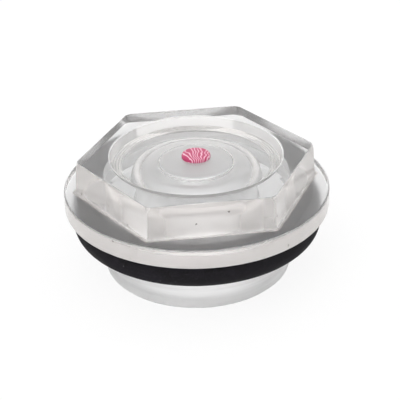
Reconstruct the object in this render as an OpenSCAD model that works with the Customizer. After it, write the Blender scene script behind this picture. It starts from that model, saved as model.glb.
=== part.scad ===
// Oil sight glass: a clear one-piece screw-in window with a hexagon head, a round
// sealing ring under its flange and a red level dot at the centre of the window.
// Millimetres. The origin is the centre of the stub's end, and +Z points to the head.

/* [Hexagon head] */
// Width across the flats where the head meets the flange
hex_af = 30; // [28:0.5:32]
// Height of the head above the flange
head_h = 4.8; // [4.4:0.1:8]
// Draft of the flats, in degrees
hex_draft = 3; // [0:0.5:5]
// Width of the cone that trims the head's upper corners
corner_trim = 0.3; // [0.1:0.05:0.6]
// Height of the cone that trims the head's upper corners
corner_drop = 0.9; // [0.4:0.1:1.5]
// Width of the bevel at the foot of the flats
foot_bevel = 0.5; // [0.2:0.1:0.8]

/* [Window] */
// Diameter of the sunk window at its rim
recess_d = 24.6; // [20:0.1:25]
// Depth of the window's floor below the head's top face
recess_depth = 1.6; // [1.4:0.1:2.4]
// Slope of the recess wall, in degrees
recess_draft = 5; // [0:0.5:10]
// Chamfer along the rim of the recess
rim_chamfer = 0.2; // [0.1:0.05:0.4]
// Width of the flat gutter between the recess wall and the crowned window
gutter_w = 1.6; // [0.4:0.1:2]
// Height of the window's crown over the gutter, measured as a full dome
crown_h = 1.25; // [0.6:0.05:1.4]
// Diameter of the flat land on top of the crown
land_d = 10.6; // [7:0.1:14]
// Height of the gutter over the end of the oil well
window_t = 1.4; // [1.2:0.1:4]

/* [Flange] */
// Diameter of the flange
flange_d = 38; // [37:0.5:44]
// Thickness of the flange
flange_t = 2.75; // [2:0.05:5]
// Radius of the flange's two rim edges
flange_round = 0.3; // [0.1:0.05:0.8]

/* [Stub] */
// Diameter of the stub over its thread crests
thread_d = 27; // [25:0.5:29]
// Length of the stub below the flange
stub_l = 10; // [8:0.5:16]
// Chamfer at the stub's end
stub_chamfer = 0.4; // [0.2:0.1:1]
// Depth of the neck under the flange, below the thread crests
neck_depth = 0.25; // [0.1:0.05:0.8]

/* [Oil well] */
// Diameter of the well that the oil stands in
well_d = 17.5; // [14:0.5:20]
// Radius between the well's wall and its end
well_round = 2; // [0.3:0.1:3]
// Chamfer at the well's mouth
mouth_chamfer = 0.3; // [0.1:0.1:0.8]
// Diameter of the step behind the middle of the window
step_d = 10.6; // [6:0.1:12]
// Height of the step over the end of the well
step_h = 0.9; // [0.3:0.1:1.2]
// Radius between the step's wall and its end
step_round = 0.3; // [0.1:0.05:0.5]

/* [Seal ring] */
// Thickness of the ring's round section
ring_section = 4.2; // [3:0.1:5]
// Play between the ring's bore and the thread crests, on the diameter
ring_play = 0.4; // [0.1:0.05:1]
// Gap between the ring and the flange that it lies under
ring_gap = 0.05; // [0.02:0.01:0.2]

/* [Level dot] */
// Diameter of the red level dot
dot_d = 4.1; // [2:0.1:6]
// Height of the level dot over the land
dot_h = 0.6; // [0.5:0.05:0.8]
// Radius of the dot's upper edge
dot_round = 0.35; // [0.1:0.05:0.45]

/* [Hidden] */
$fn = 128;

// Heights of the main faces above the stub's end
flange_z = stub_l;
foot_z = flange_z + flange_t;
top_z = foot_z + head_h;
floor_z = top_z - recess_depth;
well_z = floor_z - window_t;
rooted_z = flange_z + flange_t / 2;

// Lean of the bevel at the head's foot, in degrees
foot_lean = 45;

// Corners of the hexagon, and the cone that trims them
hex_corner_top = (hex_af / 2 - head_h * tan(hex_draft)) / cos(30);
trim_foot_r = hex_corner_top + corner_drop * tan(hex_draft) / cos(30);
trim_top_r = hex_corner_top - corner_trim;
trim_foot_z = top_z - corner_drop;

// Recess wall, and the crown of the window with its land
recess_floor_d = recess_d - 2 * recess_depth * tan(recess_draft);
rim_foot_d = recess_d - 2 * rim_chamfer * tan(recess_draft);
crown_d = recess_floor_d - 2 * gutter_w;
crown_r = (pow(crown_d / 2, 2) + pow(crown_h, 2)) / (2 * crown_h);
land_h = sqrt(pow(crown_r, 2) - pow(land_d / 2, 2)) - (crown_r - crown_h);
land_z = floor_z + land_h;

// Seat of the sealing ring under the flange
ring_centre_r = (thread_d + ring_play + ring_section) / 2;
ring_z = flange_z - ring_gap - ring_section / 2;
neck_r = thread_d / 2 - neck_depth;
neck_end_z = ring_z - ring_section / 2;

// How far a cut runs past the face that it opens
overcut = 1;

// Half section of a disc with two round rim edges, standing on z = 0
module round_disc_section(radius, height, edge) {
    square([radius - edge, height]);
    translate([0, edge])
        square([radius, height - 2 * edge]);
    for (z = [edge, height - edge])
        translate([radius - edge, z])
            circle(edge);
}

// Half section of a disc that is round along its upper edge only, standing on z = 0
module capped_disc_section(radius, height, edge) {
    square([radius, height - edge]);
    square([radius - edge, height]);
    intersection() {
        translate([radius - edge, height - edge])
            circle(edge);
        square([radius, height]);
    }
}

// Everything outside six flats that lean inwards, with their distance from the axis at the head's foot
module flat_cuts(distance, lean) {
    for (side = [0 : 5])
        rotate(30 + 60 * side)
            translate([distance, 0, foot_z])
                rotate([0, -lean, 0])
                    translate([0, -flange_d / 2, -flange_t])
                        cube([flange_d / 2, flange_d, head_h + 2 * flange_t]);
}

// Hexagon head: a turned blank with coned corners, cut by six drafted flats, on a bevelled foot
module head() {
    difference() {
        rotate_extrude()
            polygon([
                [0, rooted_z],
                [flange_d / 2, rooted_z],
                [flange_d / 2, trim_foot_z],
                [trim_foot_r, trim_foot_z],
                [trim_top_r, top_z],
                [0, top_z]
            ]);
        flat_cuts(hex_af / 2, hex_draft);
    }
    difference() {
        translate([0, 0, foot_z - foot_bevel])
            cylinder(d = flange_d - 2 * flange_round, h = foot_bevel + head_h / 2);
        flat_cuts(hex_af / 2 + foot_bevel, foot_lean);
    }
}

// Flange with its two rounded rim edges
module flange() {
    translate([0, 0, flange_z])
        rotate_extrude()
            round_disc_section(flange_d / 2, flange_t, flange_round);
}

// Screw-in stub with a chamfered end and a neck for the sealing ring
module stub() {
    rotate_extrude()
        polygon([
            [0, 0],
            [thread_d / 2 - stub_chamfer, 0],
            [thread_d / 2, stub_chamfer],
            [thread_d / 2, neck_end_z - neck_depth],
            [neck_r, neck_end_z],
            [neck_r, rooted_z],
            [0, rooted_z]
        ]);
}

// Spherical crown of the window, cut off flat where the level dot lies
module crown() {
    intersection() {
        translate([0, 0, crown_h - crown_r])
            sphere(crown_r);
        translate([0, 0, -overcut])
            cylinder(d = recess_d, h = overcut + land_h);
    }
}

// Sunk window with a chamfered rim, as the cut that leaves the crown standing
module window_cut() {
    translate([0, 0, floor_z])
        difference() {
            cylinder(d1 = recess_floor_d, d2 = recess_d, h = recess_depth);
            crown();
        }
    translate([0, 0, top_z - rim_chamfer])
        cylinder(d1 = rim_foot_d, d2 = rim_foot_d + 2 * (rim_chamfer + overcut), h = rim_chamfer + overcut);
}

// Oil well with a chamfered mouth at the stub's end and a step behind the middle of the window
module well_cut() {
    translate([0, 0, -overcut])
        rotate_extrude() {
            capped_disc_section(well_d / 2, well_z + overcut, well_round);
            capped_disc_section(step_d / 2, well_z + step_h + overcut, step_round);
        }
    translate([0, 0, -overcut])
        cylinder(d1 = well_d + 2 * (mouth_chamfer + overcut), d2 = well_d, h = mouth_chamfer + overcut);
}

module sight_body() {
    color([0.86, 0.85, 0.83, 0.5])
        difference() {
            union() {
                stub();
                flange();
                head();
            }
            window_cut();
            well_cut();
        }
}

module seal_ring() {
    color([0.12, 0.12, 0.13])
        translate([0, 0, ring_z])
            rotate_extrude()
                translate([ring_centre_r, 0])
                    circle(d = ring_section);
}

module level_dot() {
    color([0.87, 0.25, 0.45])
        translate([0, 0, land_z])
            rotate_extrude()
                capped_disc_section(dot_d / 2, dot_h, dot_round);
}

sight_body();
seal_ring();
level_dot();
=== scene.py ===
"""Looks of a clear screw-in oil sight glass: the moulded body, its sealing ring and its level dot.

Everything is in metres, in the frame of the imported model: the origin is the centre of the stub's
end face, and +Z points to the hexagon head.
"""

import logging
import math
from collections.abc import Callable, Iterator
from contextlib import contextmanager
from dataclasses import dataclass, field
from enum import Enum

import bpy
from mathutils import Matrix, Vector


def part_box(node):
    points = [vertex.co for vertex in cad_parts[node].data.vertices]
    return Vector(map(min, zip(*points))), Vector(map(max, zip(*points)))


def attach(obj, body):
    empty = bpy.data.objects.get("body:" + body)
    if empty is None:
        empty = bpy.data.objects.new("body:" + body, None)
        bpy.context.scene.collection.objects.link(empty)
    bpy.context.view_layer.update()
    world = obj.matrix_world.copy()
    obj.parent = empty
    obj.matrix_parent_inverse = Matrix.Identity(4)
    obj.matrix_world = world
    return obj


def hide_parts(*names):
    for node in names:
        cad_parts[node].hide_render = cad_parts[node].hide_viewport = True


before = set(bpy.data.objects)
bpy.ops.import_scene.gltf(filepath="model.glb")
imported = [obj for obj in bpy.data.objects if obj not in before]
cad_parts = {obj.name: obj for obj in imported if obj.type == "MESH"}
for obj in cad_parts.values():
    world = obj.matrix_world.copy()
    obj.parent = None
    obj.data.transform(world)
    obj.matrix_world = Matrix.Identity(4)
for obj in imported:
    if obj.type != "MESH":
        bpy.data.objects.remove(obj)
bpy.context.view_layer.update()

Colour = tuple[float, float, float, float]

LOG = logging.getLogger("sight_glass")

# Units and directions; the bearing of the front is in degrees
MM = 0.001
ORIGIN = (0.0, 0.0, 0.0)
UP = (0.0, 0.0, 1.0)
FRONT_BEARING = -90.0

# Sides of the hexagon, and the turn from a corner to the middle of a side
HEX_SIDES = 6
HALF_SIDE = math.pi / HEX_SIDES

# How finely the meshes are stepped, and how they are joined
TURN_STEPS = 256
ARC_STEPS = 6
CROWN_STEPS = 24
RIDGE_STEPS = 14
WELD_DISTANCE = 1e-6
OVERCUT = 1.0 * MM

# Plain white, and the tints of the plastic
WHITE = (1.0, 1.0, 1.0, 1.0)
SIDE_TINT = (0.97, 0.925, 0.9, 1.0)
GUTTER_TINT = (1.0, 0.985, 0.965, 1.0)

# Reach and raggedness of the dust specks, in cells, and how much finer the ragged noise is
SPECK_LEAST = 0.05
SPECK_SPREAD = 0.12
SPECK_RAGGED = 0.2
SPECK_FINENESS = 6.0

# Detail of the noise in the shared effects
SPECK_DETAIL = 2.0
SOFT_DETAIL = 1.0
FINE_DETAIL = 4.0
MARK_DETAIL = 3.0


class Join(Enum):
    """How one solid is combined with another."""

    ADD = "UNION"
    CUT = "DIFFERENCE"
    KEEP = "INTERSECT"


class Element(Enum):
    """What is selected in edit mode."""

    VERTEX = "VERT"
    EDGE = "EDGE"


class Blend(Enum):
    """What a Mix node mixes: Blender's name for it, its first input's number and its output's."""

    VALUES = ("FLOAT", 2, 0)
    COLOURS = ("RGBA", 6, 2)


class Effect(Enum):
    """Shared effects, each of them one shader node group."""

    SPECKS = "dust_specks"
    GRAIN = "moulded_grain"
    MARKS = "turning_marks"


class Zone(Enum):
    """Zones of the clear body that differ in finish."""

    POLISHED = "polished_plastic"
    SIDE = "moulded_plastic"
    FROSTED = "frosted_plastic"
    BORED = "bored_plastic"
    SEAT = "seat_plastic"
    NECK = "neck_plastic"
    RIM = "rim_plastic"
    WALL = "wall_plastic"
    GUTTER = "gutter_plastic"
    WINDOW = "window_plastic"


@dataclass(frozen=True)
class Corner:
    """One corner of a turned outline.

    Attributes:
        r: Distance from the axis.
        z: Height above the stub's end.
        radius: Radius that rounds the corner, 0 for a sharp one.
    """

    r: float
    z: float
    radius: float = 0.0

    @property
    def point(self) -> Vector:
        """Place of the corner in the plane y = 0."""
        return Vector((self.r, 0.0, self.z))


def rounded(corners: list[Corner]) -> list[Vector]:
    """Work out the points of an outline, with an arc at each rounded corner.

    Args:
        corners: Corners in order. The first and the last are sharp.

    Returns:
        The outline's points in the plane y = 0.
    """
    points: list[Vector] = []
    for index, corner in enumerate(corners):
        here = corner.point
        if corner.radius == 0.0:
            points.append(here)
            continue
        to_last = (corners[index - 1].point - here).normalized()
        to_next = (corners[index + 1].point - here).normalized()
        half = to_last.angle(to_next) / 2
        centre = here + (to_last + to_next).normalized() * corner.radius / math.sin(half)
        arm = here + to_last * corner.radius / math.tan(half) - centre
        last_arm = here + to_next * corner.radius / math.tan(half) - centre
        axis = arm.cross(last_arm)
        sweep = arm.angle(last_arm)
        for step in range(ARC_STEPS + 1):
            points.append(centre + Matrix.Rotation(sweep * step / ARC_STEPS, 3, axis) @ arm)
    return points


def focus(obj: bpy.types.Object) -> None:
    """Make one object the only selected one, and the active one.

    Args:
        obj: The object to work on.
    """
    bpy.ops.object.select_all(action="DESELECT")
    obj.select_set(True)
    bpy.context.view_layer.objects.active = obj


@contextmanager
def editing(obj: bpy.types.Object) -> Iterator[None]:
    """Work on one object in edit mode, with all of its mesh selected at first.

    Args:
        obj: The mesh object to edit.
    """
    focus(obj)
    bpy.ops.object.mode_set(mode="EDIT")
    bpy.ops.mesh.select_mode(type=Element.VERTEX.value)
    bpy.ops.mesh.select_all(action="SELECT")
    yield
    bpy.ops.object.mode_set(mode="OBJECT")


@contextmanager
def choosing(element: Element) -> Iterator[None]:
    """Clear the edited mesh's selection and leave edit mode, so that code can select anew.

    Args:
        element: What will be selected.
    """
    bpy.ops.mesh.select_mode(type=element.value)
    bpy.ops.mesh.select_all(action="DESELECT")
    bpy.ops.object.mode_set(mode="OBJECT")
    yield
    bpy.ops.object.mode_set(mode="EDIT")


def pick_edges(obj: bpy.types.Object, wanted: Callable[[Vector, Vector], bool]) -> None:
    """Select the edges of the edited mesh whose two ends pass a test, and no others.

    Args:
        obj: The mesh object, in edit mode.
        wanted: Test that takes the places of an edge's two ends.
    """
    with choosing(Element.EDGE):
        vertices = obj.data.vertices
        for edge in obj.data.edges:
            edge.select = wanted(*(vertices[index].co for index in edge.vertices))


def pick_vertices(obj: bpy.types.Object, wanted: Callable[[Vector], bool]) -> None:
    """Select the vertices of the edited mesh that pass a test, and no others.

    Args:
        obj: The mesh object, in edit mode.
        wanted: Test that takes the place of a vertex.
    """
    with choosing(Element.VERTEX):
        for vertex in obj.data.vertices:
            vertex.select = wanted(vertex.co)


def weld_outwards() -> None:
    """Merge doubles of the edited mesh and turn its faces outwards."""
    bpy.ops.mesh.select_all(action="SELECT")
    bpy.ops.mesh.remove_doubles(threshold=WELD_DISTANCE)
    bpy.ops.mesh.normals_make_consistent(inside=False)


def spin_round() -> None:
    """Turn the whole edited outline once round the Z axis and close it."""
    bpy.ops.mesh.select_all(action="SELECT")
    bpy.ops.mesh.spin(steps=TURN_STEPS, angle=math.tau, center=ORIGIN, axis=UP)
    weld_outwards()


def turned(name: str, points: list[Vector]) -> bpy.types.Object:
    """Turn an outline about the Z axis, as on a lathe.

    Args:
        name: Name of the new object.
        points: Outline in the plane y = 0, whose two ends lie on the axis.

    Returns:
        The closed solid.
    """
    bpy.ops.object.select_all(action="DESELECT")
    bpy.ops.mesh.primitive_plane_add(size=MM, location=ORIGIN)
    obj = bpy.context.object
    obj.name = name
    with editing(obj):
        bpy.ops.mesh.merge(type="CENTER")
        bpy.ops.transform.translate(value=points[0])
        for last, point in zip(points, points[1:]):
            bpy.ops.mesh.extrude_vertices_move(TRANSFORM_OT_translate={"value": point - last})
        spin_round()
    return obj


def apply_modifier(obj: bpy.types.Object, kind: str, **settings: object) -> None:
    """Add one modifier to an object and apply it.

    Args:
        obj: The mesh object.
        kind: Blender's name of the modifier type.
        **settings: The modifier's own settings.
    """
    focus(obj)
    modifier = obj.modifiers.new(kind.lower(), kind)
    for key, value in settings.items():
        setattr(modifier, key, value)
    bpy.ops.object.modifier_apply(modifier=modifier.name)


def combine(obj: bpy.types.Object, tool: bpy.types.Object, how: Join) -> None:
    """Combine a solid with a tool solid, which is used up.

    Args:
        obj: The solid that is changed.
        tool: The solid that is added, cut away or intersected.
        how: Which of these it is.
    """
    apply_modifier(obj, "BOOLEAN", object=tool, operation=how.value, solver="EXACT")
    bpy.data.objects.remove(tool)


def smooth(obj: bpy.types.Object, degrees: float) -> None:
    """Shade a finished mesh smooth where its faces meet at less than an angle.

    Args:
        obj: The mesh object.
        degrees: Angle from which an edge stays sharp.
    """
    focus(obj)
    bpy.ops.object.shade_smooth_by_angle(angle=math.radians(degrees))
    apply_modifier(obj, "WEIGHTED_NORMAL", mode="FACE_AREA", keep_sharp=True)


class Graph:
    """A material's or group's node tree, with short calls that add and link nodes."""

    def __init__(self, tree: bpy.types.NodeTree) -> None:
        """Take over an existing node tree."""
        self.tree = tree

    def add(self, kind: str, **settings: object) -> bpy.types.Node:
        """Add a node.

        Args:
            kind: Node type without its leading "ShaderNode".
            **settings: The node's own settings, such as an operation.

        Returns:
            The new node.
        """
        node = self.tree.nodes.new(f"ShaderNode{kind}")
        for key, value in settings.items():
            setattr(node, key, value)
        return node

    def feed(self, socket: bpy.types.NodeSocket, source: object) -> None:
        """Link a socket to another node's output, or set it to a constant.

        Args:
            socket: The input socket.
            source: An output socket or a constant.
        """
        if isinstance(source, bpy.types.NodeSocket):
            self.tree.links.new(source, socket)
        else:
            socket.default_value = source

    def math(self, operation: str, *sources: object) -> bpy.types.NodeSocket:
        """Add a Math node.

        Args:
            operation: Blender's name of the operation.
            *sources: Output sockets or constants, one for each input.

        Returns:
            The node's value output.
        """
        node = self.add("Math", operation=operation)
        for socket, source in zip(node.inputs, sources):
            self.feed(socket, source)
        return node.outputs[0]

    def blend(self, kind: Blend, mask: object, low: object, high: object) -> bpy.types.NodeSocket:
        """Add a Mix node.

        Args:
            kind: Whether values or colours are mixed.
            mask: Share of the second source.
            low: First source.
            high: Second source.

        Returns:
            The mixed output.
        """
        data_type, first, result = kind.value
        node = self.add("Mix", data_type=data_type)
        self.feed(node.inputs[0], mask)
        self.feed(node.inputs[first], low)
        self.feed(node.inputs[first + 1], high)
        return node.outputs[result]

    def steps(self, source: object, low: float, high: float) -> bpy.types.NodeSocket:
        """Map a value smoothly from 0 at one limit to 1 at the other.

        Args:
            source: The value's output socket.
            low: Value that gives 0.
            high: Value that gives 1.

        Returns:
            The mapped output.
        """
        node = self.add("MapRange", interpolation_type="SMOOTHSTEP")
        self.feed(node.inputs["Value"], source)
        self.feed(node.inputs["From Min"], low)
        self.feed(node.inputs["From Max"], high)
        return node.outputs["Result"]

    def noise(self, place: object, scale: object, detail: float) -> bpy.types.NodeSocket:
        """Add a Noise Texture node.

        Args:
            place: Output socket that gives the place.
            scale: Noise per metre.
            detail: How many finer layers the noise has.

        Returns:
            The noise's value output.
        """
        node = self.add("TexNoise")
        self.feed(node.inputs["Vector"], place)
        self.feed(node.inputs["Scale"], scale)
        self.feed(node.inputs["Detail"], detail)
        return node.outputs[0]

    def bump(self, height: object, strength: float, distance: float) -> bpy.types.NodeSocket:
        """Add a Bump node.

        Args:
            height: Output socket that gives the height.
            strength: Share of the bump that shows.
            distance: Height in metres that a value of 1 stands for.

        Returns:
            The bumped normal.
        """
        node = self.add("Bump")
        self.feed(node.inputs["Strength"], strength)
        self.feed(node.inputs["Distance"], distance)
        self.feed(node.inputs["Height"], height)
        return node.outputs[0]

    def effect(self, effect: Effect, place: object, **values: float) -> bpy.types.Node:
        """Add a shared effect.

        Args:
            effect: The effect.
            place: Output socket that gives the place.
            **values: The effect's own values, by input name with _ for a space.

        Returns:
            The group node.
        """
        node = self.add("Group", node_tree=effect_group(effect))
        self.feed(node.inputs["Place"], place)
        for key, value in values.items():
            self.feed(node.inputs[key.replace("_", " ")], value)
        return node


def new_material(name: str) -> tuple[bpy.types.Material, Graph, bpy.types.Node]:
    """Start a material.

    Args:
        name: The material's name.

    Returns:
        The material, its graph and its Principled shader.
    """
    material = bpy.data.materials.new(name)
    material.use_nodes = True
    return material, Graph(material.node_tree), material.node_tree.nodes["Principled BSDF"]


def effect_group(effect: Effect) -> bpy.types.ShaderNodeTree:
    """Give a shared effect's node group, which is built at its first use.

    Args:
        effect: The effect.

    Returns:
        The node group.
    """
    known = bpy.data.node_groups.get(effect.value)
    if known is not None:
        return known
    tree = bpy.data.node_groups.new(effect.value, "ShaderNodeTree")
    builders = {Effect.SPECKS: build_specks, Effect.GRAIN: build_grain, Effect.MARKS: build_marks}
    builders[effect](tree)
    return tree


def group_ends(
    tree: bpy.types.ShaderNodeTree, inputs: list[str], outputs: list[str]
) -> tuple[bpy.types.Node, bpy.types.Node]:
    """Give a group its sockets: the place, and then the named values.

    Args:
        tree: The empty group.
        inputs: Names of the values that it takes.
        outputs: Names of the values that it puts out.

    Returns:
        The nodes that hold the group's inputs and its outputs.
    """
    tree.interface.new_socket("Place", in_out="INPUT", socket_type="NodeSocketVector")
    for name in inputs:
        tree.interface.new_socket(name, in_out="INPUT", socket_type="NodeSocketFloat")
    for name in outputs:
        tree.interface.new_socket(name, in_out="OUTPUT", socket_type="NodeSocketFloat")
    return tree.nodes.new("NodeGroupInput"), tree.nodes.new("NodeGroupOutput")


def build_specks(tree: bpy.types.ShaderNodeTree) -> None:
    """Fill the group of scattered dust specks with ragged outlines.

    Args:
        tree: The empty group. Inputs are the place, cells per metre and the share of cells with a speck.
    """
    taken, given = group_ends(tree, ["Scale", "Share"], ["Mask"])
    graph = Graph(tree)
    cells = graph.add("TexVoronoi", feature="F1")
    graph.feed(cells.inputs["Vector"], taken.outputs["Place"])
    graph.feed(cells.inputs["Scale"], taken.outputs["Scale"])
    split = graph.add("SeparateColor")
    graph.feed(split.inputs[0], cells.outputs["Color"])
    chosen = graph.math("LESS_THAN", split.outputs[0], taken.outputs["Share"])
    reach = graph.math("MULTIPLY_ADD", split.outputs[1], SPECK_SPREAD, SPECK_LEAST)
    noise_scale = graph.math("MULTIPLY", taken.outputs["Scale"], SPECK_FINENESS)
    noise = graph.noise(taken.outputs["Place"], noise_scale, SPECK_DETAIL)
    ragged = graph.math("MULTIPLY_ADD", noise, SPECK_RAGGED, cells.outputs["Distance"])
    inside = graph.math("LESS_THAN", ragged, graph.math("ADD", reach, SPECK_RAGGED / 2))
    graph.feed(given.inputs["Mask"], graph.math("MULTIPLY", chosen, inside))


def build_grain(tree: bpy.types.ShaderNodeTree) -> None:
    """Fill the group of soft unevenness and fine grain on a moulded surface.

    Args:
        tree: The empty group. Inputs are the place and the two scales per metre.
    """
    taken, given = group_ends(tree, ["Soft Scale", "Fine Scale"], ["Soft", "Fine"])
    graph = Graph(tree)
    for name, detail in (("Soft", SOFT_DETAIL), ("Fine", FINE_DETAIL)):
        noise = graph.noise(taken.outputs["Place"], taken.outputs[f"{name} Scale"], detail)
        graph.feed(given.inputs[name], noise)


def build_marks(tree: bpy.types.ShaderNodeTree) -> None:
    """Fill the group of faint marks that run round the axis; its height masks where the turning marks'
    shade is painted.

    Args:
        tree: The empty group. Inputs are the place, marks per metre and how long each mark runs.
    """
    taken, given = group_ends(tree, ["Scale", "Length"], ["Height"])
    graph = Graph(tree)
    split = graph.add("SeparateXYZ")
    graph.feed(split.inputs[0], taken.outputs["Place"])
    joined = graph.add("CombineXYZ")
    for axis in ("X", "Y"):
        along = graph.math("DIVIDE", split.outputs[axis], taken.outputs["Length"])
        graph.feed(joined.inputs[axis], along)
    graph.feed(joined.inputs["Z"], split.outputs["Z"])
    noise = graph.noise(joined.outputs[0], taken.outputs["Scale"], MARK_DETAIL)
    graph.feed(given.inputs["Height"], noise)


@dataclass(frozen=True)
class ClearPlastic:
    """Clear moulded plastic of one zone, softly uneven, with dust specks, or with painted shade along its
    turning marks, where it has them.

    Attributes:
        zone: Zone of the body that has this finish.
        tint: Colour of the plastic.
        roughness: Mean roughness of the surface.
        clarity: Share of the light that passes; the rest is scattered by haze.
        speck_share: Share of places that hold a speck of dust, 0 for none.
        painted_mark_shade: How much darker the turning marks are painted, as painted shade of their
            grooves, 0 for none.
        speck_tint: Colour of the specks.
        speck_scale: Places for specks per metre.
        mark_scale: Turning marks per metre.
        mark_length: How many times longer than wide a turning mark is.
        mark_limits: Mark heights where the painted shade begins and where it is full.
        ior: Index of refraction.
        wave_scale: Soft unevenness per metre.
        wave_height: Height of the soft unevenness.
        wave_relief: Share of that height that shows.
        grain_scale: Fine grain per metre.
        grain_spread: Share by which the fine grain changes the roughness.
    """

    zone: Zone
    tint: Colour = WHITE
    roughness: float = 0.1
    clarity: float = 0.95
    speck_share: float = 0.0
    painted_mark_shade: float = 0.0
    speck_tint: Colour = (0.12, 0.1, 0.09, 1.0)
    speck_scale: float = 900.0
    mark_scale: float = 1100.0
    mark_length: float = 20.0
    mark_limits: tuple[float, float] = (0.4, 0.65)
    ior: float = 1.49
    wave_scale: float = 180.0
    wave_height: float = 0.02 * MM
    wave_relief: float = 1.0
    grain_scale: float = 4000.0
    grain_spread: float = 0.2

    def material(self) -> bpy.types.Material:
        """Build the material.

        Returns:
            The material, named for its zone.
        """
        material, graph, shader = new_material(self.zone.value)
        place = graph.add("TexCoord").outputs["Object"]
        shader.inputs["Base Color"].default_value = self.tint
        # Painted shade: the turning marks are darkened in the base colour, standing in for the shade of
        # their grooves.
        if self.painted_mark_shade > 0.0:
            marks = graph.effect(Effect.MARKS, place, Scale=self.mark_scale, Length=self.mark_length)
            shade = tuple(part * (1.0 - self.painted_mark_shade) for part in self.tint[:3]) + (1.0,)
            mask = graph.steps(marks.outputs["Height"], *self.mark_limits)
            painted_marks = graph.blend(Blend.COLOURS, mask, self.tint, shade)
            graph.feed(shader.inputs["Base Color"], painted_marks)
        if self.speck_share > 0.0:
            specks = graph.effect(Effect.SPECKS, place, Scale=self.speck_scale, Share=self.speck_share)
            dusty = graph.blend(Blend.COLOURS, specks.outputs["Mask"], self.tint, self.speck_tint)
            graph.feed(shader.inputs["Base Color"], dusty)
        grain = graph.effect(Effect.GRAIN, place, Soft_Scale=self.wave_scale, Fine_Scale=self.grain_scale)
        finest = self.roughness * (1.0 - self.grain_spread)
        coarsest = self.roughness * (1.0 + self.grain_spread)
        rough = graph.blend(Blend.VALUES, grain.outputs["Fine"], finest, coarsest)
        graph.feed(shader.inputs["Roughness"], rough)
        normal = graph.bump(grain.outputs["Soft"], self.wave_relief, self.wave_height)
        graph.feed(shader.inputs["Normal"], normal)
        shader.inputs["IOR"].default_value = self.ior
        shader.inputs["Transmission Weight"].default_value = self.clarity
        return material


@dataclass(frozen=True)
class BlackRubber:
    """Matt black moulded rubber with a trace of grey bloom, fine grain and dust.

    Attributes:
        black: Colour of the rubber.
        bloom: Colour of the bloom on it.
        grain: Colour of its fine lighter grain.
        dust: Colour of the specks of dust on it.
        roughness: Roughness of the bare rubber.
        bloom_roughness: How much rougher the bloom is.
        gloss: Specular level.
        bloom_scale: Patches of bloom per metre.
        bloom_limits: Noise values where the bloom begins and where it is full.
        grain_scale: Fine grain per metre.
        grain_limits: Noise values where the lighter grain begins and where it is full.
        grain_height: Height of the fine grain.
        grain_relief: Share of that height that shows.
        dust_scale: Places for dust per metre.
        dust_share: Share of these places that hold a speck.
    """

    black: Colour = (0.006, 0.0055, 0.0065, 1.0)
    bloom: Colour = (0.012, 0.011, 0.014, 1.0)
    grain: Colour = (0.03, 0.027, 0.034, 1.0)
    dust: Colour = (0.06, 0.057, 0.063, 1.0)
    roughness: float = 0.6
    bloom_roughness: float = 0.2
    gloss: float = 0.1
    bloom_scale: float = 350.0
    bloom_limits: tuple[float, float] = (0.35, 0.75)
    grain_scale: float = 9000.0
    grain_limits: tuple[float, float] = (0.52, 0.72)
    grain_height: float = 0.02 * MM
    grain_relief: float = 0.5
    dust_scale: float = 1500.0
    dust_share: float = 0.3

    def material(self) -> bpy.types.Material:
        """Build the material.

        Returns:
            The material.
        """
        material, graph, shader = new_material("black_rubber")
        shader.inputs["Specular IOR Level"].default_value = self.gloss
        place = graph.add("TexCoord").outputs["Object"]
        grain = graph.effect(Effect.GRAIN, place, Soft_Scale=self.bloom_scale, Fine_Scale=self.grain_scale)
        specks = graph.effect(Effect.SPECKS, place, Scale=self.dust_scale, Share=self.dust_share)
        bloom = graph.steps(grain.outputs["Soft"], *self.bloom_limits)
        bloomed = graph.blend(Blend.COLOURS, bloom, self.black, self.bloom)
        light = graph.steps(grain.outputs["Fine"], *self.grain_limits)
        grainy = graph.blend(Blend.COLOURS, light, bloomed, self.grain)
        dusty = graph.blend(Blend.COLOURS, specks.outputs["Mask"], grainy, self.dust)
        graph.feed(shader.inputs["Base Color"], dusty)
        rough = graph.blend(Blend.VALUES, bloom, self.roughness, self.roughness + self.bloom_roughness)
        graph.feed(shader.inputs["Roughness"], rough)
        normal = graph.bump(grain.outputs["Fine"], self.grain_relief, self.grain_height)
        graph.feed(shader.inputs["Normal"], normal)
        return material


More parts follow.
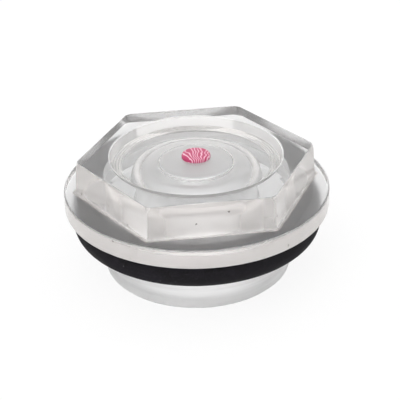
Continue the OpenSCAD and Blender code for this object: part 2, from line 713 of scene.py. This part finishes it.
@dataclass(frozen=True)
class RedFoil:
    """Pinkish red finish of the level dot, with pale wavy streaks.

    Attributes:
        red: Colour of the dot.
        pale: Colour of the streaks.
        dark: Colour of fine dark specks.
        roughness: Roughness of the red.
        streak_roughness: How much rougher the streaks are.
        fan_reach: Distance from the dot's middle to the point that the streaks fan out from.
        fan_bend: How far the streaks bend, in radians.
        fan_streaks: Phase of the streaks' wave per radian of the fan, in radians.
        bend_scale: Bends of the streaks per metre.
        break_scale: Breaks in the streaks per metre.
        break_depth: Range over which the breaks raise and lower the wave.
        streak_limits: Wave values where a streak begins and where it is full.
        streak_height: Height of the streaks.
        streak_relief: Share of that height that shows.
        speck_scale: Places for dark specks per metre.
        speck_share: Share of these places that hold one.
    """

    red: Colour = (0.49, 0.038, 0.13, 1.0)
    pale: Colour = (0.88, 0.55, 0.65, 1.0)
    dark: Colour = (0.16, 0.02, 0.05, 1.0)
    roughness: float = 0.38
    streak_roughness: float = 0.2
    fan_reach: float = 5.0 * MM
    fan_bend: float = 0.3
    fan_streaks: float = 62.0
    bend_scale: float = 700.0
    break_scale: float = 7000.0
    break_depth: float = 1.2
    streak_limits: tuple[float, float] = (0.25, 0.8)
    streak_height: float = 0.02 * MM
    streak_relief: float = 0.6
    speck_scale: float = 3500.0
    speck_share: float = 0.25

    def material(self) -> bpy.types.Material:
        """Build the material.

        Returns:
            The material.
        """
        material, graph, shader = new_material("red_foil")
        place = graph.add("TexCoord").outputs["Object"]
        grain = graph.effect(Effect.GRAIN, place, Soft_Scale=self.bend_scale, Fine_Scale=self.break_scale)
        split = graph.add("SeparateXYZ")
        graph.feed(split.inputs[0], place)
        ahead = graph.math("ADD", split.outputs["Y"], self.fan_reach)
        angle = graph.math("ARCTAN2", split.outputs["X"], ahead)
        bent = graph.math("MULTIPLY_ADD", grain.outputs["Soft"], self.fan_bend, angle)
        wave = graph.math("SINE", graph.math("MULTIPLY", bent, self.fan_streaks))
        broken = graph.math("MULTIPLY_ADD", grain.outputs["Fine"], self.break_depth, -self.break_depth / 2)
        streak = graph.steps(graph.math("ADD", wave, broken), *self.streak_limits)
        specks = graph.effect(Effect.SPECKS, place, Scale=self.speck_scale, Share=self.speck_share)
        streaked = graph.blend(Blend.COLOURS, streak, self.red, self.pale)
        specked = graph.blend(Blend.COLOURS, specks.outputs["Mask"], streaked, self.dark)
        graph.feed(shader.inputs["Base Color"], specked)
        rough = graph.blend(Blend.VALUES, streak, self.roughness, self.roughness + self.streak_roughness)
        graph.feed(shader.inputs["Roughness"], rough)
        normal = graph.bump(streak, self.streak_relief, self.streak_height)
        graph.feed(shader.inputs["Normal"], normal)
        return material


@dataclass
class ClearBody:
    """The clear moulding: hexagon head, sunk window, flange, stub and oil well.

    Attributes:
        flange_z: Height of the flange's underside.
        foot_z: Height of the flange's top, where the head stands.
        hex_af: Width across the flats at the head's foot.
        hex_draft: Draft of the flats, in radians.
        corner_trim: Width of the cone that trims the head's upper corners.
        corner_drop: Height of that cone.
        edge_round: Radius of the head's upright edges.
        edge_steps: Steps of that radius.
        brim_round: Radius along the edge of the head's top.
        brim_steps: Steps of that radius.
        foot_round: Radius between the flats and the flange.
        flange_round: Radius of the flange's rim edges.
        stub_r: Radius of the stub over its crests.
        stub_chamfer: Chamfer at the stub's end.
        neck_z: Height where the neck under the flange ends.
        neck_depth: Depth of the neck.
        recess_r: Radius of the sunk window at its rim.
        recess_depth: Depth of the window's gutter under the head's top.
        recess_draft: Slope of the recess wall, in radians.
        rim_round: Radius along the rim of the recess.
        gutter_w: Width of the gutter round the crowned window.
        ridges: Fine turned ridges in the gutter.
        ridge_h: Height of the ridges.
        crown_h: Height of the full crown over the gutter.
        land_r: Radius of the flat land on the crown.
        window_t: Height of the gutter over the end of the well.
        well_r: Radius of the oil well.
        well_round: Radius between the well's wall and its end.
        mouth_chamfer: Chamfer at the well's mouth.
        step_r: Radius of the step at the end of the well.
        step_h: Height of that step.
        step_round: Radius between the step's wall and its end.
        side_limit: Upward share of a face's normal under which the face is a side.
        sharp_from: Angle from which an edge stays sharp, in degrees.
        top_z: Height of the head's top, from the frame.
        flange_r: Radius of the flange, from the frame.
        gutter_z: Height of the gutter.
        well_z: Height of the end of the well.
        rooted_z: Height inside the flange where the head begins.
    """

    flange_z: float = 10.0 * MM
    foot_z: float = 12.75 * MM
    hex_af: float = 30.0 * MM
    hex_draft: float = math.radians(3.0)
    corner_trim: float = 0.3 * MM
    corner_drop: float = 0.9 * MM
    edge_round: float = 0.18 * MM
    edge_steps: int = 4
    brim_round: float = 0.12 * MM
    brim_steps: int = 3
    foot_round: float = 0.5 * MM
    flange_round: float = 0.3 * MM
    stub_r: float = 13.5 * MM
    stub_chamfer: float = 0.4 * MM
    neck_z: float = 5.75 * MM
    neck_depth: float = 0.25 * MM
    recess_r: float = 12.3 * MM
    recess_depth: float = 1.6 * MM
    recess_draft: float = math.radians(5.0)
    rim_round: float = 0.15 * MM
    gutter_w: float = 1.6 * MM
    ridges: int = 4
    ridge_h: float = 0.14 * MM
    crown_h: float = 1.25 * MM
    land_r: float = 5.3 * MM
    window_t: float = 1.4 * MM
    well_r: float = 8.75 * MM
    well_round: float = 2.0 * MM
    mouth_chamfer: float = 0.3 * MM
    step_r: float = 5.3 * MM
    step_h: float = 0.9 * MM
    step_round: float = 0.3 * MM
    side_limit: float = 0.6
    sharp_from: float = 25.0
    top_z: float = field(init=False)
    flange_r: float = field(init=False)
    gutter_z: float = field(init=False)
    well_z: float = field(init=False)
    rooted_z: float = field(init=False)

    def __post_init__(self) -> None:
        """Take the outer sizes from the frame and work out the inner heights."""
        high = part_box("sight_body")[1]
        self.top_z = high.z
        self.flange_r = high.x
        self.gutter_z = self.top_z - self.recess_depth
        self.well_z = self.gutter_z - self.window_t
        self.rooted_z = (self.flange_z + self.foot_z) / 2

    @property
    def floor_r(self) -> float:
        """Radius where the recess wall meets the gutter."""
        return self.recess_r - self.recess_depth * math.tan(self.recess_draft)

    @property
    def crown_foot_r(self) -> float:
        """Radius where the crown rises from the gutter."""
        return self.floor_r - self.gutter_w

    def crown_z(self, r: float) -> float:
        """Work out the height of the crown, which is part of a sphere.

        Args:
            r: Distance from the axis.

        Returns:
            The height above the stub's end.
        """
        sphere_r = (self.crown_foot_r**2 + self.crown_h**2) / (2 * self.crown_h)
        sphere_z = self.gutter_z + self.crown_h - sphere_r
        return sphere_z + math.sqrt(sphere_r**2 - r**2)

    def turned_blank(self) -> bpy.types.Object:
        """Turn the stub and the flange as one solid.

        Returns:
            The solid.
        """
        neck_r = self.stub_r - self.neck_depth
        return turned("clear_body", rounded([
            Corner(0.0, 0.0),
            Corner(self.stub_r - self.stub_chamfer, 0.0),
            Corner(self.stub_r, self.stub_chamfer),
            Corner(self.stub_r, self.neck_z - self.neck_depth),
            Corner(neck_r, self.neck_z),
            Corner(neck_r, self.flange_z),
            Corner(self.flange_r, self.flange_z, self.flange_round),
            Corner(self.flange_r, self.foot_z, self.flange_round),
            Corner(0.0, self.foot_z),
        ]))

    def hexagon(self, top_af: float) -> bpy.types.Object:
        """Model the drafted hexagon with a concave foot and rounded upright edges.

        Args:
            top_af: Distance of the flats from the axis at the head's top.

        Returns:
            The solid, which begins inside the flange.
        """
        foot_af = self.hex_af / 2 + self.foot_round
        rings = [(foot_af, self.rooted_z)]
        for step in range(ARC_STEPS + 1):
            turn = math.pi / 2 * step / ARC_STEPS
            rings.append((
                foot_af - self.foot_round * math.sin(turn),
                self.foot_z + self.foot_round * (1 - math.cos(turn)),
            ))
        rings.append((top_af, self.top_z))
        bpy.ops.object.select_all(action="DESELECT")
        bpy.ops.mesh.primitive_circle_add(
            vertices=HEX_SIDES,
            radius=foot_af / math.cos(HALF_SIDE),
            fill_type="NGON",
            location=(0.0, 0.0, self.rooted_z),
            rotation=(0.0, 0.0, HALF_SIDE),
        )
        obj = bpy.context.object
        bpy.ops.object.transform_apply(location=True, rotation=True, scale=True)
        with editing(obj):
            for (last_af, last_z), (af, z) in zip(rings, rings[1:]):
                rise = (0.0, 0.0, z - last_z)
                bpy.ops.mesh.extrude_region_move(TRANSFORM_OT_translate={"value": rise})
                bpy.ops.transform.resize(value=(af / last_af, af / last_af, 1.0))
            weld_outwards()
            pick_edges(obj, lambda a, b: abs(a.z - b.z) > WELD_DISTANCE)
            bpy.ops.mesh.bevel(offset=self.edge_round, segments=self.edge_steps, affect="EDGES")
        return obj

    def head(self) -> bpy.types.Object:
        """Model the hexagon head with coned corners and a rounded brim.

        Returns:
            The solid, which begins inside the flange.
        """
        top_af = self.hex_af / 2 - (self.top_z - self.foot_z) * math.tan(self.hex_draft)
        obj = self.hexagon(top_af)
        corner_r = top_af / math.cos(HALF_SIDE)
        cone_r = corner_r + self.corner_drop * math.tan(self.hex_draft) / math.cos(HALF_SIDE)
        over_r = corner_r - self.corner_trim - OVERCUT * self.corner_trim / self.corner_drop
        blank = turned("corner_blank", rounded([
            Corner(0.0, self.rooted_z - OVERCUT),
            Corner(self.flange_r, self.rooted_z - OVERCUT),
            Corner(self.flange_r, self.top_z - self.corner_drop),
            Corner(cone_r, self.top_z - self.corner_drop),
            Corner(over_r, self.top_z + OVERCUT),
            Corner(0.0, self.top_z + OVERCUT),
        ]))
        combine(obj, blank, Join.KEEP)
        brim_z = self.top_z - WELD_DISTANCE
        with editing(obj):
            weld_outwards()
            pick_edges(obj, lambda a, b: a.z > brim_z and b.z > brim_z)
            bpy.ops.mesh.bevel(offset=self.brim_round, segments=self.brim_steps, affect="EDGES")
        return obj

    def window_tool(self) -> bpy.types.Object:
        """Turn the tool that sinks the window and leaves its crown and ridges standing.

        Returns:
            The tool.
        """
        crown_foot_r = self.crown_foot_r
        span = crown_foot_r - self.land_r
        outline = [Corner(0.0, self.crown_z(self.land_r))]
        for step in range(CROWN_STEPS + 1):
            r = self.land_r + span * step / CROWN_STEPS
            outline.append(Corner(r, self.crown_z(r)))
        pitch = (self.floor_r - crown_foot_r) / self.ridges
        for ridge in range(self.ridges):
            for step in range(1, RIDGE_STEPS + 1):
                turn = math.tau * step / RIDGE_STEPS
                r = crown_foot_r + pitch * (ridge + step / RIDGE_STEPS)
                outline.append(Corner(r, self.gutter_z + self.ridge_h * (1 - math.cos(turn)) / 2))
        rim_r = self.recess_r - self.rim_round * math.tan(self.recess_draft)
        for step in range(ARC_STEPS + 1):
            turn = math.pi / 2 * step / ARC_STEPS
            r = rim_r + self.rim_round * (1 - math.cos(turn))
            outline.append(Corner(r, self.top_z - self.rim_round * (1 - math.sin(turn))))
        outline.append(Corner(rim_r + self.rim_round, self.top_z + OVERCUT))
        outline.append(Corner(0.0, self.top_z + OVERCUT))
        return turned("window_tool", rounded(outline))

    def well_tool(self) -> bpy.types.Object:
        """Turn the tool that bores the oil well.

        Returns:
            The tool.
        """
        return turned("well_tool", rounded([
            Corner(0.0, -OVERCUT),
            Corner(self.well_r + self.mouth_chamfer + OVERCUT, -OVERCUT),
            Corner(self.well_r, self.mouth_chamfer),
            Corner(self.well_r, self.well_z, self.well_round),
            Corner(self.step_r, self.well_z),
            Corner(self.step_r, self.well_z + self.step_h, self.step_round),
            Corner(0.0, self.well_z + self.step_h),
        ]))

    def zone(self, face: bpy.types.MeshPolygon) -> Zone:
        """Tell which zone a face of the body is in.

        Args:
            face: The face.

        Returns:
            The zone.
        """
        r = face.center.xy.length
        z = face.center.z
        upright = abs(face.normal.z) < self.side_limit
        well_end = self.well_z + self.step_h
        if r < self.well_r + WELD_DISTANCE and z < well_end + WELD_DISTANCE:
            return Zone.BORED
        if z < self.neck_z:
            return Zone.FROSTED
        if z < self.flange_z - WELD_DISTANCE:
            return Zone.NECK
        if z < self.flange_z + WELD_DISTANCE:
            return Zone.SEAT
        outside = r > self.recess_r + self.rim_round
        foot = self.foot_z + WELD_DISTANCE < z < self.foot_z + self.foot_round
        if outside and (upright or foot):
            return Zone.SIDE
        if outside or z > self.top_z - WELD_DISTANCE:
            return Zone.POLISHED
        if r > self.floor_r:
            return Zone.RIM if z > self.top_z - self.rim_round else Zone.WALL
        if r > self.crown_foot_r:
            return Zone.GUTTER
        return Zone.WINDOW

    def build(self, finishes: list[ClearPlastic]) -> bpy.types.Object:
        """Model the body and dress it.

        Args:
            finishes: The plastic's finish in each zone.

        Returns:
            The finished piece.
        """
        obj = self.turned_blank()
        combine(obj, self.head(), Join.ADD)
        combine(obj, self.window_tool(), Join.CUT)
        combine(obj, self.well_tool(), Join.CUT)
        with editing(obj):
            weld_outwards()
        smooth(obj, self.sharp_from)
        obj.data.materials.clear()
        for finish in finishes:
            obj.data.materials.append(finish.material())
        zones = [finish.zone for finish in finishes]
        for face in obj.data.polygons:
            face.material_index = zones.index(self.zone(face))
        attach(obj, "root")
        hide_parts("sight_body")
        return obj


@dataclass
class SealingRing:
    """The rubber ring under the flange, with the fine flash line of its mould.

    Attributes:
        section_steps: Points round the ring's section.
        flash: How far the flash line stands out.
        sharp_from: Angle from which an edge stays sharp, in degrees.
    """

    section_steps: int = 96
    flash: float = 0.03 * MM
    sharp_from: float = 40.0

    def build(self, finish: BlackRubber) -> bpy.types.Object:
        """Model the ring and dress it.

        Args:
            finish: The rubber.

        Returns:
            The finished piece.
        """
        low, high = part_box("seal_ring")
        section_r = (high.z - low.z) / 2
        centre = Vector((high.x - section_r, 0.0, (high.z + low.z) / 2))
        bpy.ops.object.select_all(action="DESELECT")
        bpy.ops.mesh.primitive_circle_add(
            vertices=self.section_steps,
            radius=section_r,
            location=centre,
            rotation=(math.pi / 2, 0.0, 0.0),
        )
        obj = bpy.context.object
        obj.name = "sealing_ring"
        bpy.ops.object.transform_apply(location=True, rotation=True, scale=True)
        rim_r = centre.x + section_r - WELD_DISTANCE
        with editing(obj):
            pick_vertices(obj, lambda place: place.x > rim_r)
            bpy.ops.transform.translate(value=(self.flash, 0.0, 0.0))
            spin_round()
        smooth(obj, self.sharp_from)
        obj.data.materials.append(finish.material())
        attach(obj, "root")
        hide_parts("seal_ring")
        return obj


@dataclass
class LevelDot:
    """The red dot at the centre of the window.

    Attributes:
        seat: How far the dot is let into the land.
        edge_round: Radius of its upper edge.
        crown: How far its middle stands over its edge.
        sharp_from: Angle from which an edge stays sharp, in degrees.
    """

    seat: float = 0.02 * MM
    edge_round: float = 0.35 * MM
    crown: float = 0.03 * MM
    sharp_from: float = 40.0

    def build(self, finish: RedFoil) -> bpy.types.Object:
        """Model the dot and dress it.

        Args:
            finish: The red finish.

        Returns:
            The finished piece.
        """
        low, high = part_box("level_dot")
        obj = turned("dot", rounded([
            Corner(0.0, low.z - self.seat),
            Corner(high.x, low.z - self.seat),
            Corner(high.x, high.z - self.crown, self.edge_round),
            Corner(0.0, high.z),
        ]))
        smooth(obj, self.sharp_from)
        obj.data.materials.append(finish.material())
        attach(obj, "root")
        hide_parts("level_dot")
        return obj


def direction(turn: float, elevation: float) -> Vector:
    """Work out the direction from the object to something that stands round it.

    Args:
        turn: How far it stands round the object from the front, in degrees.
        elevation: Its angle above the horizon, in degrees.

    Returns:
        The direction, with a length of 1.
    """
    rise = math.radians(elevation)
    around = math.radians(FRONT_BEARING - turn)
    return Vector((
        math.cos(rise) * math.cos(around),
        math.cos(rise) * math.sin(around),
        math.sin(rise),
    ))


@dataclass
class Studio:
    """Pale floor, even white light and the camera at the photograph's viewing angle.

    Attributes:
        floor_gap: How far the floor lies under the stub's end.
        floor_size: Length of the floor's sides.
        floor_white: Reflectance of the floor.
        floor_roughness: Roughness of the floor.
        floor_glow: Share of plain white in what is seen of the floor.
        light: Strength of the white surroundings.
        softbox_size: Length of the softbox's sides.
        softbox_distance: Distance of the softbox from the origin.
        softbox_elevation: Angle of the softbox above the horizon, in degrees.
        softbox_turn: How far the softbox stands round the object, in degrees.
        softbox_power: Power of the softbox, in watts.
        aim_z: Height of the point that the camera turns about.
        distance: Distance of the camera from that point.
        elevation: Angle of the camera above the horizon, in degrees.
        turn: How far the camera stands round the object, in degrees.
        roll: Tilt of the camera about its own axis, in degrees.
        lens: Focal length, in millimetres.
        sensor: Width of the camera's sensor, in millimetres.
        shift: Lens shift that gives the photograph's framing.
        bounces: How often light may turn inside the clear body.
    """

    floor_gap: float = 0.2 * MM
    floor_size: float = 2.0
    floor_white: float = 0.97
    floor_roughness: float = 0.9
    floor_glow: float = 0.85
    light: float = 1.0
    softbox_size: float = 0.5
    softbox_distance: float = 0.7
    softbox_elevation: float = 50.0
    softbox_turn: float = 30.0
    softbox_power: float = 1.4
    aim_z: float = 12.75 * MM
    distance: float = 173.8 * MM
    elevation: float = 28.19
    turn: float = 7.38
    roll: float = 1.25
    lens: float = 109.0
    sensor: float = 36.0
    shift: tuple[float, float] = (0.008675, -0.043775)
    bounces: int = 64

    def build_floor(self) -> None:
        """Lay the pale floor, which looks white and keeps a soft shadow."""
        bpy.ops.object.select_all(action="DESELECT")
        bpy.ops.mesh.primitive_plane_add(size=self.floor_size, location=(0.0, 0.0, -self.floor_gap))
        obj = bpy.context.object
        obj.name = "floor"
        material, graph, shader = new_material("pale_floor")
        shader.inputs["Base Color"].default_value = (self.floor_white,) * 3 + (1.0,)
        shader.inputs["Roughness"].default_value = self.floor_roughness
        path = graph.add("LightPath")
        seen = graph.math("MAXIMUM", path.outputs["Is Camera Ray"], path.outputs["Is Glossy Ray"])
        seen = graph.math("MAXIMUM", seen, path.outputs["Is Transmission Ray"])
        glow = graph.add("Emission")
        mix = graph.add("MixShader")
        graph.feed(mix.inputs[0], graph.math("MULTIPLY", seen, self.floor_glow))
        graph.feed(mix.inputs[1], shader.outputs[0])
        graph.feed(mix.inputs[2], glow.outputs[0])
        graph.feed(material.node_tree.nodes["Material Output"].inputs["Surface"], mix.outputs[0])
        obj.data.materials.append(material)

    def build_light(self) -> None:
        """Surround the object with even white light and add the softbox."""
        world = bpy.data.worlds.new("white_room")
        bpy.context.scene.world = world
        world.use_nodes = True
        background = world.node_tree.nodes["Background"]
        background.inputs["Color"].default_value = WHITE
        background.inputs["Strength"].default_value = self.light
        lamp = bpy.data.lights.new("softbox", "AREA")
        lamp.size = self.softbox_size
        lamp.energy = self.softbox_power
        obj = bpy.data.objects.new("softbox", lamp)
        bpy.context.scene.collection.objects.link(obj)
        back = direction(self.softbox_turn, self.softbox_elevation)
        place = back.to_track_quat("Z", "Y").to_matrix().to_4x4()
        place.translation = back * self.softbox_distance
        obj.matrix_world = place

    def build_camera(self) -> None:
        """Stand the camera where the photograph was taken from."""
        back = direction(self.turn, self.elevation)
        right = Vector(UP).cross(back).normalized()
        up = back.cross(right)
        roll = math.radians(self.roll)
        axes = Matrix((
            math.cos(roll) * right - math.sin(roll) * up,
            math.sin(roll) * right + math.cos(roll) * up,
            back,
        ))
        camera = bpy.data.cameras.new("camera")
        camera.lens = self.lens
        camera.sensor_width = self.sensor
        camera.shift_x, camera.shift_y = self.shift
        camera.clip_start = MM
        obj = bpy.data.objects.new("camera", camera)
        bpy.context.scene.collection.objects.link(obj)
        place = axes.transposed().to_4x4()
        place.translation = Vector((0.0, 0.0, self.aim_z)) + back * self.distance
        obj.matrix_world = place
        bpy.context.scene.camera = obj

    def build(self) -> None:
        """Build floor, light and camera."""
        self.build_floor()
        self.build_light()
        self.build_camera()
        bpy.context.scene.view_settings.view_transform = "Standard"
        cycles = bpy.context.scene.cycles
        cycles.max_bounces = self.bounces
        cycles.transmission_bounces = self.bounces
        cycles.glossy_bounces = self.bounces


def report(obj: bpy.types.Object) -> None:
    """Log a finished piece's name and number of faces."""
    LOG.info("%s: %d faces", obj.name, len(obj.data.polygons))


def plastic_finishes() -> list[ClearPlastic]:
    """Give the clear body's finish in each zone.

    Returns:
        One finish for each zone.
    """
    return [
        ClearPlastic(Zone.POLISHED, roughness=0.06, clarity=0.98),
        ClearPlastic(Zone.SIDE, SIDE_TINT, roughness=0.15, clarity=0.82, speck_share=0.2),
        # The stub's turning marks carry painted shade in the base colour.
        ClearPlastic(Zone.FROSTED, roughness=0.5, clarity=0.68, painted_mark_shade=0.14),
        ClearPlastic(Zone.NECK, roughness=0.8, clarity=0.1),
        ClearPlastic(Zone.BORED, roughness=0.35, clarity=0.97),
        ClearPlastic(Zone.SEAT, roughness=0.45, clarity=0.96),
        ClearPlastic(Zone.RIM, roughness=0.35, clarity=0.4),
        ClearPlastic(Zone.WALL, roughness=0.2, clarity=0.5),
        ClearPlastic(Zone.GUTTER, GUTTER_TINT, roughness=0.03, clarity=0.78),
        ClearPlastic(Zone.WINDOW, roughness=0.06, clarity=0.95),
    ]


def main() -> None:
    """Build the pieces in order, then the studio."""
    logging.basicConfig(level=logging.INFO)
    report(ClearBody().build(plastic_finishes()))
    report(SealingRing().build(BlackRubber()))
    report(LevelDot().build(RedFoil()))
    Studio().build()


if __name__ == "__main__":
    main()
